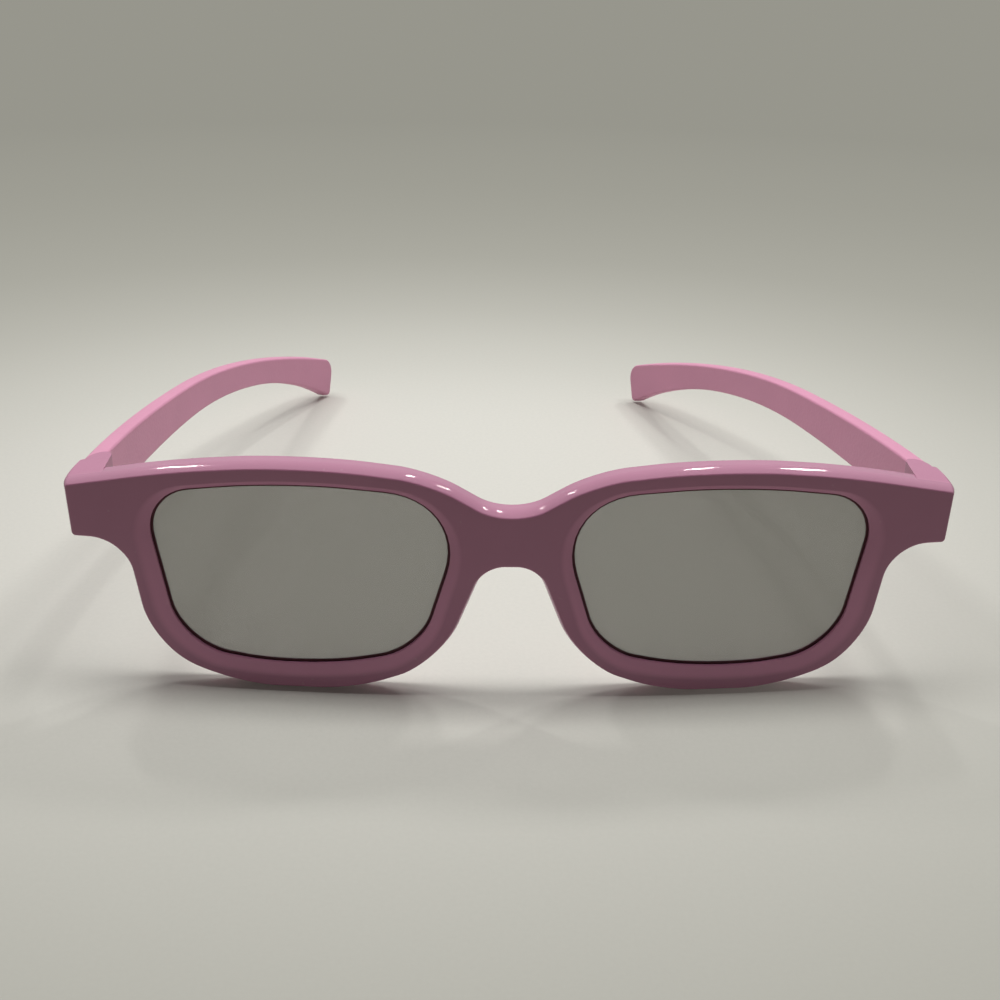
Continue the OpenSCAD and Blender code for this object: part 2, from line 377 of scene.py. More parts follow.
def corner_reaches(corners):
    """Length of edge that each corner's rounding takes, shared where an edge is short."""
    count = len(corners)
    wanted = []
    for index, corner in enumerate(corners):
        before, after = corner_rays(corners, index)
        wanted.append(corner[2] / math.tan(before.angle(after) / 2) if corner[2] > 0 else 0.0)
    shares = []
    for index, corner in enumerate(corners):
        following = (index + 1) % count
        room = EDGE_SHARE * (Vector(corners[following][:2]) - Vector(corner[:2])).length
        need = wanted[index] + wanted[following]
        shares.append(min(1.0, room / need) if need > 0 else 1.0)
    return [want * min(shares[index - 1], shares[index]) for index, want in enumerate(wanted)]


def grown_corners(corners, *by):
    """Corner points of a convex outline moved out by one distance, or one for each edge."""
    moves = by * len(corners) if len(by) == 1 else by
    grown = []
    for index, (x, z, radius) in enumerate(corners):
        before, after = corner_rays(corners, index)
        last, following = moves[index - 1], moves[index]
        out = -(before * following + after * last) / math.sin(before.angle(after))
        grown.append((x + out.x, z + out.y, radius + (last + following) / 2))
    return grown


def on_side(corners, side):
    """Corner points on the left side, or mirrored to the right side."""
    return [(x * side, z, r) for x, z, r in corners]


# Mesh making

def rounded_face(bm, corners, place, facing):
    """A flat face with rounded corners, turned to face a direction."""
    verts = [bm.verts.new(place(x, z)) for x, z, _ in corners]
    face = bm.faces.new(verts)
    face.material_index = FACE_TAG
    for vert, reach in zip(verts, corner_reaches(corners)):
        if reach > 0:
            bmesh.ops.bevel(
                bm, geom=[vert], offset=reach, offset_type="OFFSET", affect="VERTICES",
                segments=ARC_SEGMENTS, profile=0.5, material=-1, clamp_overlap=False,
            )
    face = next(f for f in bm.faces if f.material_index == FACE_TAG)
    face.material_index = 0
    face.normal_update()
    if face.normal.dot(Vector(facing)) < 0:
        face.normal_flip()
    return face


def upright_at(y):
    """Places an outline's point in the upright plane at a depth."""
    return lambda x, z: Vector((x, y, z))


def arc_steps(radius, start, end, count):
    """Inset and rise of each step of a wall that turns from one lean to another."""
    steps = []
    for k in range(count):
        low = start + (end - start) * k / count
        high = start + (end - start) * (k + 1) / count
        steps.append(
            (radius * (math.cos(low) - math.cos(high)), radius * (math.sin(high) - math.sin(low)))
        )
    return steps


def edge_steps(draft, wall, radius):
    """Inset and rise of a drafted wall and the rounding that ends it."""
    return [(draft, wall)] + arc_steps(radius, 0.0, math.pi / 2, ROUND_SEGMENTS)


def crowned_steps(rise, start, end, radius):
    """Inset and rise of a wall that crowns over towards the face and of its last rounding."""
    wall = rise - radius * (1 - math.sin(end))
    crown_r = wall / (math.sin(end) - math.sin(start))
    return arc_steps(crown_r, start, end, CROWN_SEGMENTS) + arc_steps(
        radius, end, math.pi / 2, FACE_EDGE_SEGMENTS
    )


def inset_steps(bm, face, steps):
    """Insets a face step by step, each with its width and its rise."""
    for width, rise in steps:
        bmesh.ops.inset_region(
            bm, faces=[face], thickness=width, depth=rise,
            use_boundary=True, use_even_offset=True,
        )


def pulled(bm, faces, offset):
    """Extrudes faces by an offset and returns the moved faces."""
    made = bmesh.ops.extrude_face_region(bm, geom=faces)["geom"]
    verts = [e for e in made if isinstance(e, bmesh.types.BMVert)]
    moved = set(verts)
    bmesh.ops.translate(bm, verts=verts, vec=offset)
    return [
        e for e in made
        if isinstance(e, bmesh.types.BMFace) and all(v in moved for v in e.verts)
    ]


def moulded_plate(bm, face, near_steps, far_steps):
    """Turns a flat face into a plate with a parting ridge; returns its near and far face."""
    near = pulled(bm, [face], face.normal * PARTING_RIDGE)[0]
    near.normal_update()
    face.normal_update()
    if face.normal.dot(near.normal) > 0:
        face.normal_flip()
    inset_steps(bm, near, near_steps)
    inset_steps(bm, face, far_steps)
    return near, face


def opened(bm, faces):
    """Deletes faces but keeps their edges, and returns those edges."""
    edges = list({edge for face in faces for edge in face.edges})
    bmesh.ops.delete(bm, geom=faces, context="FACES_ONLY")
    return edges


def sliced(bm, axis, low, high, step):
    """Cuts a mesh across an axis at even places so that it can bend."""
    normal = Vector((0, 0, 0))
    normal[axis] = 1.0
    for k in range(1, int((high - low) / step) + 1):
        bmesh.ops.bisect_plane(
            bm, geom=bm.verts[:] + bm.edges[:] + bm.faces[:], dist=TOUCH,
            plane_co=normal * (low + k * step), plane_no=normal,
        )


def curve_depth(front, x):
    """How far the front curves back at a place across it."""
    return front.curve_r - math.sqrt(front.curve_r ** 2 - x ** 2)


def bent_to_front(bm, front):
    """Bends a flat mesh to the front's curve."""
    for vert in bm.verts:
        vert.co.y += curve_depth(front, vert.co.x)


def round_bar(bm, radius, low, high, segments):
    """An upright closed cylinder on the Z axis."""
    bmesh.ops.create_cone(
        bm, cap_ends=True, segments=segments, radius1=radius, radius2=radius, depth=high - low,
        matrix=Matrix.Translation((0, 0, (low + high) / 2)),
    )


def scratch_object(bm):
    """A throwaway object that holds a mesh while modifiers run."""
    mesh = bpy.data.meshes.new("scratch")
    bm.to_mesh(mesh)
    item = bpy.data.objects.new("scratch", mesh)
    bpy.context.scene.collection.objects.link(item)
    return item


def combined(bm, tool, operation):
    """A new mesh from a boolean of two closed meshes, which are freed."""
    bmesh.ops.recalc_face_normals(bm, faces=bm.faces[:])
    bmesh.ops.recalc_face_normals(tool, faces=tool.faces[:])
    body = scratch_object(bm)
    cutter = scratch_object(tool)
    step = body.modifiers.new("combine", "BOOLEAN")
    step.operation = operation
    step.solver = "EXACT"
    step.object = cutter
    graph = bpy.context.evaluated_depsgraph_get()
    result = bmesh.new()
    result.from_mesh(body.evaluated_get(graph).to_mesh())
    for item in (body, cutter):
        mesh = item.data
        bpy.data.objects.remove(item)
        bpy.data.meshes.remove(mesh)
    bm.free()
    tool.free()
    return result


def softened(bm, radius, over_degrees=60):
    """Rounds the edges of a mesh that turn by more than an angle."""
    bmesh.ops.remove_doubles(bm, verts=bm.verts[:], dist=WELD)
    bmesh.ops.dissolve_limit(
        bm, angle_limit=FLAT_ANGLE, verts=bm.verts[:], edges=bm.edges[:]
    )
    edges = [
        e for e in bm.edges
        if e.is_manifold and e.calc_face_angle(0.0) > math.radians(over_degrees)
    ]
    bmesh.ops.bevel(
        bm, geom=edges, offset=radius, offset_type="OFFSET", affect="EDGES",
        segments=BEVEL_SEGMENTS, profile=0.5, material=-1, clamp_overlap=True,
    )


def added(bm, other):
    """Adds another mesh's geometry and frees that mesh."""
    mesh = bpy.data.meshes.new("scratch")
    other.to_mesh(mesh)
    other.free()
    bm.from_mesh(mesh)
    bpy.data.meshes.remove(mesh)


def mirrored(bm):
    """A mirrored copy across the middle plane."""
    copy = bm.copy()
    bmesh.ops.scale(copy, vec=(-1, 1, 1), verts=copy.verts[:])
    bmesh.ops.reverse_faces(copy, faces=copy.faces[:])
    return copy


def finished(bm, name, *materials):
    """Puts a mesh made from the front's middle into the row frame as a shaded piece."""
    bmesh.ops.translate(bm, verts=bm.verts[:], vec=(0, SOLID_LOW.y, 0))
    bmesh.ops.recalc_face_normals(bm, faces=bm.faces[:])
    mesh = bpy.data.meshes.new(name)
    bm.to_mesh(mesh)
    bm.free()
    mesh.polygons.foreach_set("use_smooth", [True] * len(mesh.polygons))
    mesh.set_sharp_from_angle(angle=SHARP_ANGLE)
    for material in materials:
        mesh.materials.append(material)
    piece = bpy.data.objects.new(name, mesh)
    bpy.context.scene.collection.objects.link(piece)
    weights = piece.modifiers.new("even_normals", "WEIGHTED_NORMAL")
    weights.mode = "FACE_AREA"
    weights.keep_sharp = True
    return piece


def settle(piece, body, slot, *nodes):
    """Lets a piece ride on a body and stand for its solids, which it hides."""
    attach(piece, body)
    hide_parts(*nodes)


# Materials

def node(tree, kind, place, inputs=None, **settings):
    """Adds a shader node with its settings and the values of its inputs."""
    made = tree.nodes.new(kind)
    made.location = place
    for name, value in settings.items():
        setattr(made, name, value)
    for name, value in (inputs or {}).items():
        made.inputs[name].default_value = value
    return made


def solid_tint(tint, gain=1.0):
    """A linear colour with full cover, lightened or darkened by a gain."""
    return (*(min(1.0, gain * c) for c in tint), 1.0)


def surface_group(name, *extra):
    """A node group that turns a place and a plain finish into colour, roughness and height."""
    tree = bpy.data.node_groups.new(name, "ShaderNodeTree")
    given = {"Vector": "Vector", "Colour": "Color", "Roughness": "Float"}
    given.update(dict.fromkeys(extra, "Float"))
    made = {"Colour": "Color", "Roughness": "Float", "Height": "Float"}
    for way, sockets in (("INPUT", given), ("OUTPUT", made)):
        for socket, kind in sockets.items():
            tree.interface.new_socket(socket, in_out=way, socket_type=f"NodeSocket{kind}")
    start = node(tree, "NodeGroupInput", (-900, 0))
    end = node(tree, "NodeGroupOutput", (500, 0))
    return tree, start, end


def moulding_group():
    """Node group: flow marks, fine grain and dust of moulded plastic."""
    name = "moulded_surface"
    if name in bpy.data.node_groups:
        return bpy.data.node_groups[name]
    tree, start, end = surface_group(name, "Flow", "Grain Scale", "Dust")
    link = tree.links.new

    flow = node(
        tree, "ShaderNodeTexNoise", (-650, 250),
        {"Scale": 55.0, "Detail": 3.0, "Distortion": 0.6},
    )
    link(start.outputs["Vector"], flow.inputs["Vector"])
    flow_range = node(
        tree, "ShaderNodeMapRange", (-450, 250),
        {"From Min": 0.3, "From Max": 0.7, "To Min": -1.0, "To Max": 1.0},
    )
    link(flow.outputs["Fac"], flow_range.inputs["Value"])
    flow_amount = node(tree, "ShaderNodeMath", (-250, 250), {2: 1.0}, operation="MULTIPLY_ADD")
    link(flow_range.outputs["Result"], flow_amount.inputs[0])
    link(start.outputs["Flow"], flow_amount.inputs[1])
    toned = node(tree, "ShaderNodeVectorMath", (-50, 250), operation="SCALE")
    link(start.outputs["Colour"], toned.inputs[0])
    link(flow_amount.outputs[0], toned.inputs["Scale"])

    dust = node(tree, "ShaderNodeTexNoise", (-650, -250), {"Scale": 900.0, "Detail": 1.0})
    link(start.outputs["Vector"], dust.inputs["Vector"])
    dust_range = node(
        tree, "ShaderNodeMapRange", (-450, -250), {"From Min": 0.74, "From Max": 0.80}
    )
    link(dust.outputs["Fac"], dust_range.inputs["Value"])
    dust_amount = node(tree, "ShaderNodeMath", (-250, -250), operation="MULTIPLY")
    link(dust_range.outputs["Result"], dust_amount.inputs[0])
    link(start.outputs["Dust"], dust_amount.inputs[1])
    dusted = node(
        tree, "ShaderNodeMix", (200, 250), {"B": (0.75, 0.66, 0.68, 1.0)}, data_type="RGBA"
    )
    link(dust_amount.outputs[0], dusted.inputs["Factor"])
    link(toned.outputs[0], dusted.inputs["A"])
    link(dusted.outputs["Result"], end.inputs["Colour"])

    grain = node(tree, "ShaderNodeTexNoise", (-650, 0), {"Detail": 2.0, "Roughness": 0.6})
    link(start.outputs["Vector"], grain.inputs["Vector"])
    link(start.outputs["Grain Scale"], grain.inputs["Scale"])
    rough_step = node(
        tree, "ShaderNodeMath", (-250, 0), {1: 0.4, 2: 0.8}, operation="MULTIPLY_ADD"
    )
    link(grain.outputs["Fac"], rough_step.inputs[0])
    rough = node(tree, "ShaderNodeMath", (-50, 0), operation="MULTIPLY", use_clamp=True)
    link(start.outputs["Roughness"], rough.inputs[0])
    link(rough_step.outputs[0], rough.inputs[1])
    dust_rough = node(
        tree, "ShaderNodeMath", (200, 0), {1: 0.5}, operation="MULTIPLY_ADD", use_clamp=True
    )
    link(dust_amount.outputs[0], dust_rough.inputs[0])
    link(rough.outputs[0], dust_rough.inputs[2])
    link(dust_rough.outputs[0], end.inputs["Roughness"])
    link(grain.outputs["Fac"], end.inputs["Height"])
    return tree


def film_group():
    """Node group: faint wiping marks on a film."""
    name = "wiped_film"
    if name in bpy.data.node_groups:
        return bpy.data.node_groups[name]
    tree, start, end = surface_group(name)
    link = tree.links.new
    smear = node(
        tree, "ShaderNodeTexNoise", (-450, 0),
        {"Scale": 38.0, "Detail": 4.0, "Distortion": 1.2},
    )
    link(start.outputs["Vector"], smear.inputs["Vector"])
    level = node(tree, "ShaderNodeMapRange", (-200, 200), {"To Min": 0.85, "To Max": 1.2})
    link(smear.outputs["Fac"], level.inputs["Value"])
    toned = node(tree, "ShaderNodeVectorMath", (100, 200), operation="SCALE")
    link(start.outputs["Colour"], toned.inputs[0])
    link(level.outputs["Result"], toned.inputs["Scale"])
    link(toned.outputs[0], end.inputs["Colour"])
    gloss = node(
        tree, "ShaderNodeMapRange", (-200, -150),
        {"From Min": 0.35, "From Max": 0.75, "To Max": 0.10},
    )
    link(smear.outputs["Fac"], gloss.inputs["Value"])
    rough = node(tree, "ShaderNodeMath", (100, -150), operation="ADD", use_clamp=True)
    link(start.outputs["Roughness"], rough.inputs[0])
    link(gloss.outputs["Result"], rough.inputs[1])
    link(rough.outputs[0], end.inputs["Roughness"])
    link(smear.outputs["Fac"], end.inputs["Height"])
    return tree


def shaded_material(name, inputs):
    """A new material, its node tree and its shader with the values of its inputs."""
    material = bpy.data.materials.new(name)
    material.use_nodes = True
    tree = material.node_tree
    shader = tree.nodes["Principled BSDF"]
    for socket, value in inputs.items():
        shader.inputs[socket].default_value = value
    return material, tree, shader


def surfaced(tree, shader, group, depth, inputs):
    """Gives a shader the colour, roughness and bump of a surface group; returns its node."""
    link = tree.links.new
    spot = node(tree, "ShaderNodeTexCoord", (-800, 0))
    surface = node(tree, "ShaderNodeGroup", (-550, 0), inputs, node_tree=group)
    link(spot.outputs["Object"], surface.inputs["Vector"])
    link(surface.outputs["Colour"], shader.inputs["Base Color"])
    link(surface.outputs["Roughness"], shader.inputs["Roughness"])
    bump = node(tree, "ShaderNodeBump", (-250, -250), {"Strength": 1.0, "Distance": depth})
    link(surface.outputs["Height"], bump.inputs["Height"])
    link(bump.outputs["Normal"], shader.inputs["Normal"])
    return surface


def plastic(name, tint, roughness, flow, grain_scale, grain_depth, dust, specular, lip=0.0):
    """Moulded plastic with its own gloss and grain, and painted light on the lips where a gain is
    given.
    """
    if name in bpy.data.materials:
        return bpy.data.materials[name]
    material, tree, shader = shaded_material(name, {"Specular IOR Level": specular})
    surface = surfaced(tree, shader, moulding_group(), grain_depth, {
        "Colour": solid_tint(tint), "Roughness": roughness, "Flow": flow,
        "Grain Scale": grain_scale, "Dust": dust,
    })
    # Painted light: the colour is lightened by the mesh layer's share of the gain
    if lip > 0:
        edge = node(tree, "ShaderNodeAttribute", (-1000, 250), attribute_name=PAINTED_LIGHT_LAYER)
        tone = node(
            tree, "ShaderNodeMix", (-800, 250),
            {"A": solid_tint(tint), "B": solid_tint(tint, 1 + lip)}, data_type="RGBA",
        )
        tree.links.new(edge.outputs["Fac"], tone.inputs["Factor"])
        tree.links.new(tone.outputs["Result"], surface.inputs["Colour"])
    return material


def film(name, tint, cover, roughness):
    """See-through film with faint wiping marks."""
    if name in bpy.data.materials:
        return bpy.data.materials[name]
    material, tree, shader = shaded_material(name, {"IOR": 1.45, "Alpha": cover})
    surfaced(tree, shader, film_group(), 0.00002, {
        "Colour": solid_tint(tint), "Roughness": roughness,
    })
    return material


def pin_metal(name, tint):
    """Plain drawn wire with fine lines along it."""
    if name in bpy.data.materials:
        return bpy.data.materials[name]
    material, tree, shader = shaded_material(name, {"Metallic": 1.0})
    link = tree.links.new
    spot = node(tree, "ShaderNodeTexCoord", (-1000, 0))
    stretch = node(tree, "ShaderNodeMapping", (-800, 0), {"Scale": (1.0, 1.0, 0.03)})
    lines = node(tree, "ShaderNodeTexNoise", (-600, 0), {"Scale": 9000.0})
    link(spot.outputs["Object"], stretch.inputs["Vector"])
    link(stretch.outputs["Vector"], lines.inputs["Vector"])
    tone = node(
        tree, "ShaderNodeMix", (-350, 150),
        {"A": solid_tint(tint, 0.8), "B": solid_tint(tint)}, data_type="RGBA",
    )
    link(lines.outputs["Fac"], tone.inputs["Factor"])
    link(tone.outputs["Result"], shader.inputs["Base Color"])
    gloss = node(tree, "ShaderNodeMapRange", (-350, -150), {"To Min": 0.25, "To Max": 0.45})
    link(lines.outputs["Fac"], gloss.inputs["Value"])
    link(gloss.outputs["Result"], shader.inputs["Roughness"])
    drawn = node(tree, "ShaderNodeBump", (-150, -350), {"Distance": 0.000003})
    link(lines.outputs["Fac"], drawn.inputs["Height"])
    link(drawn.outputs["Normal"], shader.inputs["Normal"])
    return material


def front_plastic(finish):
    """Glossy pink of the front and its retainers, with painted light on the front's lips."""
    return plastic(
        "front_gloss_pink", finish.front_pink, finish.front_rough, flow=0.02,
        grain_scale=2600.0, grain_depth=0.000004, dust=0.06, specular=0.35, lip=finish.painted_light_gain,
    )


def temple_plastic(finish):
    """Satin pink of the temples."""
    return plastic(
        "temple_satin_pink", finish.temple_pink, finish.temple_rough,
        flow=0.025, grain_scale=1500.0, grain_depth=0.00006, dust=0.05, specular=0.3,
    )


def block_plastic(finish):
    """Front pink without the gloss, for the turned-back end pieces."""
    return plastic(
        "end_satin_pink", finish.front_pink, finish.temple_rough,
        flow=0.02, grain_scale=2200.0, grain_depth=0.00001, dust=0.05, specular=0.35,
    )


def painted_shade_plastic(finish):
    """Painted shade: dark maroon where the lens meets its rim, on the lip's inner wall and on the
    front film's border.
    """
    return plastic(
        "lens_seam_maroon", finish.painted_shade_maroon, roughness=0.55,
        flow=0.1, grain_scale=1500.0, grain_depth=0.000004, dust=0.0, specular=0.2,
    )


# Pieces

def hinge_place(scene):
    """Plan place of the left hinge axis."""
    front = scene.glasses_front
    outer = half_width(front) - front.end_taper
    return outer - scene.glasses_temple.thick, scene.glasses_hinge.axis_y


def ridge_depth(front, x):
    """Distance back from the front's middle to its parting ridge."""
    return curve_depth(front, x) + front.depth / 2


def end_slope(scene):
    """Taper of an end piece's outer side for each metre back."""
    front = scene.glasses_front
    rear = scene.glasses_hinge.axis_y + scene.glasses_hinge.gap
    return front.end_taper / (rear - ridge_depth(front, half_width(front)))


def knuckle_heights(scene):
    """Low and high end of the temples' knuckles."""
    low, high = end_heights(scene.glasses_front)
    middle = (low + high) / 2 + scene.glasses_hinge.knuckle_lift
    half = scene.glasses_hinge.knuckle_h / 2
    return middle - half, middle + half


def pin_heights(scene):
    """Low and high end of the hinge pins, inside the end pieces."""
    low, high = end_heights(scene.glasses_front)
    return low + scene.glasses_hinge.pin_rise, high - scene.glasses_hinge.pin_sink


def painted_lip_light(front, z):
    """Share of painted light on the lip: most at its foot, least over the lens."""
    rise = (z - front.rim_bottom) / front.lens_h
    return 1 - PAINTED_LIGHT_FALL * min(1.0, max(0.0, rise))


def dished_band(bm, front, corners, side):
    """Adds the band that dips from the face to a lens, with its painted light; returns the face
    inside it.
    """
    deep = front.dish_depth
    spread = (front.dish_top,) * 2 + (front.dish_inner,) + (front.dish_low,) * 2
    rim = grown_corners(corners, *spread, front.dish_outer)
    outer = rounded_face(bm, on_side(rim, side), upright_at(0.0), AHEAD)
    outer_loop = opened(bm, [outer])
    inside = on_side(grown_corners(corners, LIP_ROUND), side)
    near = rounded_face(bm, inside, upright_at(deep), AHEAD)
    made = bmesh.ops.bridge_loops(bm, edges=outer_loop + list(near.edges))
    across = [
        e for e in {edge for face in made["faces"] for edge in face.edges}
        if abs(e.verts[0].co.y - e.verts[1].co.y) > deep / 2
    ]
    cut = bmesh.ops.subdivide_edges(bm, edges=across, cuts=DISH_CUTS)
    # Painted light: each vertex of the band and the lip gets its share of lightening, most at the
    # rims' foot
    light = bm.verts.layers.float[PAINTED_LIGHT_LAYER]
    for vert in {e for e in cut["geom_inner"] if isinstance(e, bmesh.types.BMVert)}:
        part = vert.co.y / deep
        vert[light] = min(1.0, PAINTED_LIGHT_BLEND * part) * painted_lip_light(front, vert.co.z)
        vert.co.y = deep * part * part * (1 + DISH_BEND * (1 - part))
    for vert in near.verts:
        vert[light] = painted_lip_light(front, vert.co.z)
    return near


def cut_lens_opening(bm, front, lens, side):
    """Adds a lens opening's dished band, lip and pocket, with painted shade on the lip's inner
    wall.
    """
    corners = lens_corners(front)
    near = dished_band(bm, front, corners, side)
    inset_steps(bm, near, [(width * LIP_ROUND, rise * LIP_ROUND) for width, rise in LIP_STEPS])
    inset_steps(bm, near, [(0.0, -(lens.lip - front.dish_depth - LIP_ROUND - LIP_SEAM))])
    pocket = lens.seat_w + lens.seat_gap
    rounding = front.back_round
    far = rounded_face(
        bm, on_side(grown_corners(corners, pocket + rounding), side),
        upright_at(front.depth), BACK,
    )
    steps = arc_steps(rounding, 0.0, math.pi / 2, ROUND_SEGMENTS)
    inset_steps(bm, far, [(width, -rise) for rise, width in steps])
    inset_steps(bm, far, [(0.0, -(front.depth - rounding - lens.lip)), (pocket, 0.0)])
    near_loop = opened(bm, [near])
    far_loop = opened(bm, [far])
    # Painted shade: the lip's inner wall takes the dark second material
    for face in bmesh.ops.bridge_loops(bm, edges=near_loop + far_loop)["faces"]:
        face.material_index = 1


def filled_between(bm, y, facing):
    """Fills the flat ring between the open edges at a depth."""
    edges = [
        e for e in bm.edges
        if e.is_boundary and all(abs(v.co.y - y) < TOUCH for v in e.verts)
    ]
    bmesh.ops.triangle_fill(bm, edges=edges, use_beauty=True, normal=facing)


def face_plate(scene):
    """The front's rims and bridge as one curved plate."""
    front = scene.glasses_front
    bm = bmesh.new()
    bm.verts.layers.float.new(PAINTED_LIGHT_LAYER)
    half = (front.depth - PARTING_RIDGE) / 2
    face = rounded_face(bm, front_corners(front), upright_at(half + PARTING_RIDGE), AHEAD)
    near, far = moulded_plate(
        bm, face,
        crowned_steps(half, front.crown_from, front.crown_to, front.face_round),
        edge_steps(front.draft, half - front.back_round, front.back_round),
    )
    opened(bm, [near, far])
    for _, side in SIDES:
        cut_lens_opening(bm, front, scene.glasses_lens, side)
    filled_between(bm, 0.0, AHEAD)
    filled_between(bm, front.depth, BACK)
    eased_foot_and_ends(bm, scene, half)
    bent_to_front(bm, front)
    return bm


def eased_foot_and_ends(bm, scene, half):
    """Lifts the face's lower edge off the table and narrows the back half at the ends."""
    front = scene.glasses_front
    end_from = half_width(front) - END_ZONE
    slope = end_slope(scene)
    for vert in bm.verts:
        ahead = max(0.0, 1 - vert.co.y / half)
        low = max(0.0, 1 - vert.co.z / FOOT_ZONE)
        vert.co.z += front.foot_lift * ahead * ahead * low
        end = max(0.0, abs(vert.co.x) - end_from) / END_ZONE
        vert.co.x -= math.copysign(slope * max(0.0, vert.co.y - half) * end, vert.co.x)


def end_block(scene):
    """The left end piece's turned-back block with its two hinge lugs."""
    front = scene.glasses_front
    hinge = scene.glasses_hinge
    wide = half_width(front)
    axis_x, axis_y = hinge_place(scene)
    radius = hinge.barrel_d / 2
    inner = axis_x - radius
    rear = axis_y + hinge.gap

    outline = bmesh.new()
    rounded_face(outline, front_corners(front), upright_at(BLOCK_FROM), AHEAD)
    bmesh.ops.bisect_plane(
        outline, geom=outline.verts[:] + outline.edges[:] + outline.faces[:],
        plane_co=(inner - CUT_MARGIN, 0, 0), plane_no=(1, 0, 0), clear_inner=True,
    )
    pulled(outline, outline.faces[:], (0, BLOCK_DEPTH, 0))

    plan = bmesh.new()
    start = math.asin(hinge.gap / radius)
    turn = (math.pi - start) / LUG_SEGMENTS
    arc = [start + turn * k for k in range(LUG_SEGMENTS + 1)]
    points = [
        (inner, ridge_depth(front, inner)),
        (wide, ridge_depth(front, wide)),
        (wide - front.end_taper, rear),
    ]
    points += [(axis_x + radius * math.cos(a), axis_y + radius * math.sin(a)) for a in arc]
    plan.faces.new([plan.verts.new((x, y, CUT_LOW)) for x, y in points])
    pulled(plan, plan.faces[:], (0, 0, CUT_HIGH - CUT_LOW))
    block = combined(outline, plan, "INTERSECT")

    low, high = knuckle_heights(scene)
    slot = (radius + hinge.gap, low - hinge.axial_gap, high + hinge.axial_gap, BARREL_SEGMENTS)
    bore = (hinge.pin_d / 2 + hinge.lug_fit, CUT_LOW, pin_heights(scene)[1], BORE_SEGMENTS)
    for cut in (slot, bore):
        tool = bmesh.new()
        round_bar(tool, *cut)
        bmesh.ops.translate(tool, verts=tool.verts[:], vec=(axis_x, axis_y, 0))
        block = combined(block, tool, "DIFFERENCE")
    softened(block, hinge.edge_round, over_degrees=40)
    return block


class GLASSES_OT_front(Operator):
    """Model the front: curved rims, bridge, dished lens openings and hinge lugs"""

    bl_idname = "glasses.front"
    bl_label = "Front"

    def execute(self, context):
        scene = context.scene
        bm = face_plate(scene)
        block = end_block(scene)
        for face in block.faces:
            face.material_index = 2
        added(bm, mirrored(block))
        added(bm, block)
        finish = scene.glasses_finish
        # The second material paints shade on the lips' inner walls
        piece = finished(
            bm, "front_moulding",
            front_plastic(finish), painted_shade_plastic(finish), block_plastic(finish),
        )
        settle(piece, "front", "front_plastic", "front_frame")
        return {"FINISHED"}


class GLASSES_OT_lenses(Operator):
    """Model the film layers and the retainer ring in each rim"""

    bl_idname = "glasses.lenses"
    bl_label = "Lenses"

    def sheet(self, scene, side, depth, thickness, border):
        """A film bent to the front's curve, with a painted-shade border where one is given."""
        front = scene.glasses_front
        bm = bmesh.new()
        corners = grown_corners(lens_corners(front), scene.glasses_lens.seat_w)
        pane = rounded_face(bm, on_side(corners, side), upright_at(depth), AHEAD)
        # Painted shade: a dark ring round the film's visible edge
        if border > 0:
            inset_steps(bm, pane, [(scene.glasses_lens.seat_w + border, 0.0)])
            for face in bm.faces:
                face.material_index = 0 if face == pane else 1
        sliced(bm, 0, -CUT_SIDE, CUT_SIDE, SHEET_SLICE)
        sliced(bm, 2, 0.0, CUT_HIGH, SHEET_STOREY)
        pulled(bm, bm.faces[:], (0, thickness, 0))
        bent_to_front(bm, front)
        return bm

    def ring(self, scene, side, depth):
        """A retainer ring with eased edges."""
        front = scene.glasses_front
        lens = scene.glasses_lens
        bm = bmesh.new()
        corners = grown_corners(lens_corners(front), lens.seat_w)
        face = rounded_face(bm, on_side(corners, side), upright_at(depth), AHEAD)
        inset_steps(bm, face, [(lens.seat_w - lens.retainer_inset, 0.0)])
        opened(bm, [face])
        pulled(bm, bm.faces[:], (0, lens.retainer, 0))
        softened(bm, lens.retainer_round)
        bent_to_front(bm, front)
        return bm

    def execute(self, context):
        scene = context.scene
        lens = scene.glasses_lens
        finish = scene.glasses_finish
        clear = film("clear_sheet", finish.sheet_grey, finish.sheet_cover, roughness=0.06)
        dark = film(
            "polarising_film", finish.film_olive, finish.film_cover, roughness=0.10
        )
        pink = front_plastic(finish)
        retarder_y = lens.lip + lens.film_gap
        polariser_y = retarder_y + lens.retarder + lens.film_gap
        backing_y = polariser_y + lens.polariser + lens.film_gap
        retainer_y = backing_y + lens.backing + lens.film_gap
        layers = (
            ("retarder_film", retarder_y, lens.retarder, clear, "clear_film", lens.border),
            ("polarizer_film", polariser_y, lens.polariser, dark, "polarising_film", 0.0),
            ("backing_sheet", backing_y, lens.backing, clear, "clear_film", 0.0),
        )
        for name, side in SIDES:
            for layer, depth, thickness, material, slot, border in layers:
                bm = self.sheet(scene, side, depth, thickness, border)
                # The film's second material paints shade on its border
                piece = finished(bm, f"{name}_{layer}_visual", material, painted_shade_plastic(finish))
                settle(piece, "front", slot, f"{name}_{layer}")
            ring = finished(self.ring(scene, side, retainer_y), f"{name}_retainer_ring", pink)
            settle(ring, "front", "retainer_plastic", f"{name}_lens_retainer")
        return {"FINISHED"}


